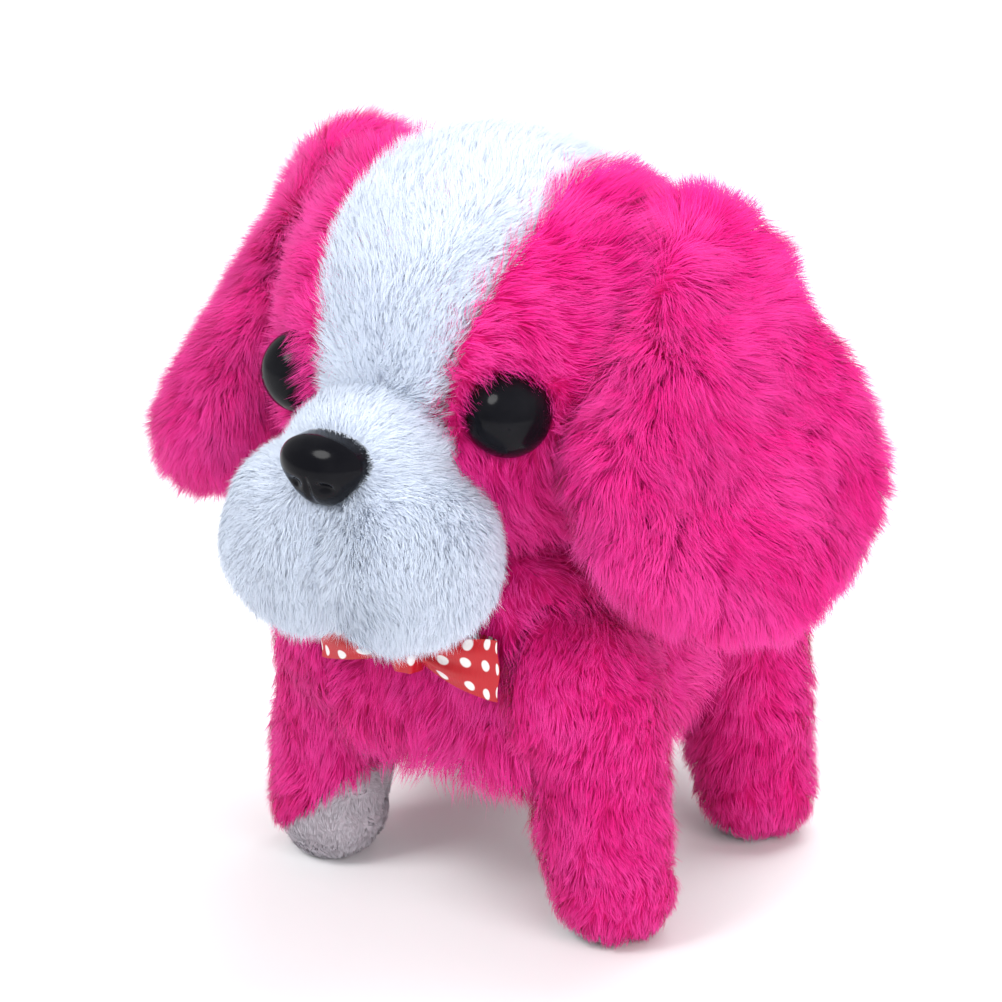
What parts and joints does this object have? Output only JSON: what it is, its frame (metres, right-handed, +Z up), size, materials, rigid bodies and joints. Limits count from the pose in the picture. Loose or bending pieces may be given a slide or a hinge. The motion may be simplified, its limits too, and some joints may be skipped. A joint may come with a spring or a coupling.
{
  "type": "walking plush puppy toy",
  "caption": "Battery-driven plush puppy in pink and white pile with floppy ears and a dotted bow; legs swing in pairs and the head and tail nod together.",
  "frame": {"origin": "centre of the bounding box's footprint, on the floor under the four paws", "axes": "+Z up, -Y the way the dog faces, +X the dog's left side"},
  "size_m": [0.1491, 0.154, 0.15],
  "materials": {
    "pink_plush": "long soft pile",
    "white_plush": "short dense pile",
    "short_pile": "cropped pile",
    "ribbon": "satin with small white dots",
    "black_gloss": "polished",
    "housing": "fine matt",
    "black_plastic": "fine matt",
    "white_plastic": "smooth",
    "frame_plastic": "fine matt",
    "steel": "brushed",
    "cell_jacket": "satin",
    "board": "smooth"
  },
  "bodies": {
    "trunk": {"case_shell_left": "housing", "case_shell_right": "housing", "battery_tray": "housing", "battery_left": "cell_jacket", "battery_right": "cell_jacket", "contact_plus": "steel", "contact_minus": "steel", "contact_bridge": "steel", "motor": "steel", "gear_frame": "frame_plastic", "circuit_board": "board", "speaker": "black_plastic", "hip_axle_front": "steel", "hip_axle_rear": "steel", "body_plush": "pink_plush", "bow_knot": "ribbon", "bow_loop_left": "ribbon", "bow_loop_right": "ribbon", "neck_bracket": "frame_plastic", "neck_pin": "steel"},
    "crank": {"crank_shaft": "steel", "crank_gear": "white_plastic", "crank_disc_left": "white_plastic", "crank_disc_right": "white_plastic", "bark_cam": "white_plastic"},
    "second_gear": {"gear_second": "white_plastic"},
    "first_gear": {"gear_first": "white_plastic"},
    "motor_shaft": {"motor_pinion": "white_plastic"},
    "link_left": {"side_link_left": "frame_plastic"},
    "link_right": {"side_link_right": "frame_plastic"},
    "door": {"battery_door": "housing", "door_screw": "steel"},
    "switch": {"power_switch": "black_plastic"},
    "head": {"head_lever": "frame_plastic", "head_shell_left": "frame_plastic", "head_shell_right": "frame_plastic", "head_plush": "pink_plush", "face_blaze": "white_plush", "muzzle_plush": "white_plush", "eye_left": "black_gloss", "eye_right": "black_gloss", "nose": "black_gloss"},
    "left_ear": {"ear_left": "pink_plush"},
    "right_ear": {"ear_right": "pink_plush"},
    "rod": {"nod_rod": "frame_plastic"},
    "tail": {"tail_core": "frame_plastic", "tail_plush": "pink_plush"},
    "leg_front_left": {"leg_core_front_left": "frame_plastic", "leg_sleeve_front_left": "pink_plush", "paw_panel_front_left": "short_pile"},
    "leg_front_right": {"leg_core_front_right": "frame_plastic", "leg_sleeve_front_right": "pink_plush", "paw_panel_front_right": "short_pile"},
    "leg_rear_left": {"leg_core_rear_left": "frame_plastic", "leg_sleeve_rear_left": "pink_plush", "paw_panel_rear_left": "short_pile"},
    "leg_rear_right": {"leg_core_rear_right": "frame_plastic", "leg_sleeve_rear_right": "pink_plush", "paw_panel_rear_right": "short_pile"}
  },
  "joints": [
    {"name": "crank_spin", "type": "hinge", "parent": "trunk", "child": "crank", "pos_m": [0, -0.002, 0.066], "axis": [1, 0, 0], "continuous": true},
    {"name": "second_gear_spin", "type": "hinge", "parent": "trunk", "child": "second_gear", "pos_m": [0, 0.0062, 0.0612], "axis": [1, 0, 0], "continuous": true},
    {"name": "first_gear_spin", "type": "hinge", "parent": "trunk", "child": "first_gear", "pos_m": [0, 0.0144, 0.066], "axis": [1, 0, 0], "continuous": true},
    {"name": "motor_spin", "type": "hinge", "parent": "trunk", "child": "motor_shaft", "pos_m": [0, 0.0226, 0.0612], "axis": [1, 0, 0], "continuous": true},
    {"name": "front_left_hip", "type": "hinge", "parent": "trunk", "child": "leg_front_left", "pos_m": [0, -0.0275, 0.052], "axis": [1, 0, 0], "range_deg": [-14, 14]},
    {"name": "front_right_hip", "type": "hinge", "parent": "trunk", "child": "leg_front_right", "pos_m": [0, -0.0275, 0.052], "axis": [1, 0, 0], "range_deg": [-14, 14]},
    {"name": "rear_left_hip", "type": "hinge", "parent": "trunk", "child": "leg_rear_left", "pos_m": [0, 0.0275, 0.052], "axis": [1, 0, 0], "range_deg": [-14, 14]},
    {"name": "rear_right_hip", "type": "hinge", "parent": "trunk", "child": "leg_rear_right", "pos_m": [0, 0.0275, 0.052], "axis": [1, 0, 0], "range_deg": [-14, 14]},
    {"name": "left_link_pivot", "type": "hinge", "parent": "leg_front_left", "child": "link_left", "pos_m": [0.0208, -0.0275, 0.066], "axis": [1, 0, 0], "range_deg": [-14, 14]},
    {"name": "right_link_pivot", "type": "hinge", "parent": "leg_front_right", "child": "link_right", "pos_m": [-0.0208, -0.0275, 0.066], "axis": [1, 0, 0], "range_deg": [-14, 14]},
    {"name": "head_nod", "type": "hinge", "parent": "trunk", "child": "head", "pos_m": [0, -0.01, 0.088], "axis": [-1, 0, 0], "range_deg": [0, 10]},
    {"name": "rod_pivot", "type": "hinge", "parent": "head", "child": "rod", "pos_m": [0.0026, -0.01, 0.0715], "axis": [-1, 0, 0], "range_deg": [-10, 0]},
    {"name": "tail_wag", "type": "hinge", "parent": "trunk", "child": "tail", "pos_m": [0, 0.036, 0.06325], "axis": [1, 0, 0], "range_deg": [0, 20]},
    {"name": "left_ear_flap", "type": "hinge", "parent": "head", "child": "left_ear", "pos_m": [0.028, -0.003, 0.136], "axis": [-0.5, -0.866, 0], "range_deg": [0, 45]},
    {"name": "right_ear_flap", "type": "hinge", "parent": "head", "child": "right_ear", "pos_m": [-0.028, -0.003, 0.138], "axis": [-0.5, 0.866, 0], "range_deg": [0, 45]},
    {"name": "switch_slide", "type": "slide", "parent": "trunk", "child": "switch", "axis": [1, 0, 0], "range_m": [0, 0.0032]},
    {"name": "door_slide", "type": "slide", "parent": "trunk", "child": "door", "axis": [0, 0, -1], "range_m": [0, 0.022]}
  ],
  "couplings": [
    {"joint": "second_gear_spin", "follows": "crank_spin", "ratio": -2.8},
    {"joint": "first_gear_spin", "follows": "crank_spin", "ratio": 7.84},
    {"joint": "motor_spin", "follows": "crank_spin", "ratio": -21.952},
    {"joint": "front_right_hip", "follows": "front_left_hip", "ratio": -1},
    {"joint": "rear_left_hip", "follows": "front_left_hip", "ratio": 1},
    {"joint": "rear_right_hip", "follows": "front_left_hip", "ratio": -1},
    {"joint": "left_link_pivot", "follows": "front_left_hip", "ratio": -1},
    {"joint": "right_link_pivot", "follows": "front_left_hip", "ratio": 1},
    {"joint": "rod_pivot", "follows": "head_nod", "ratio": -1},
    {"joint": "tail_wag", "follows": "head_nod", "ratio": 2}
  ]
}
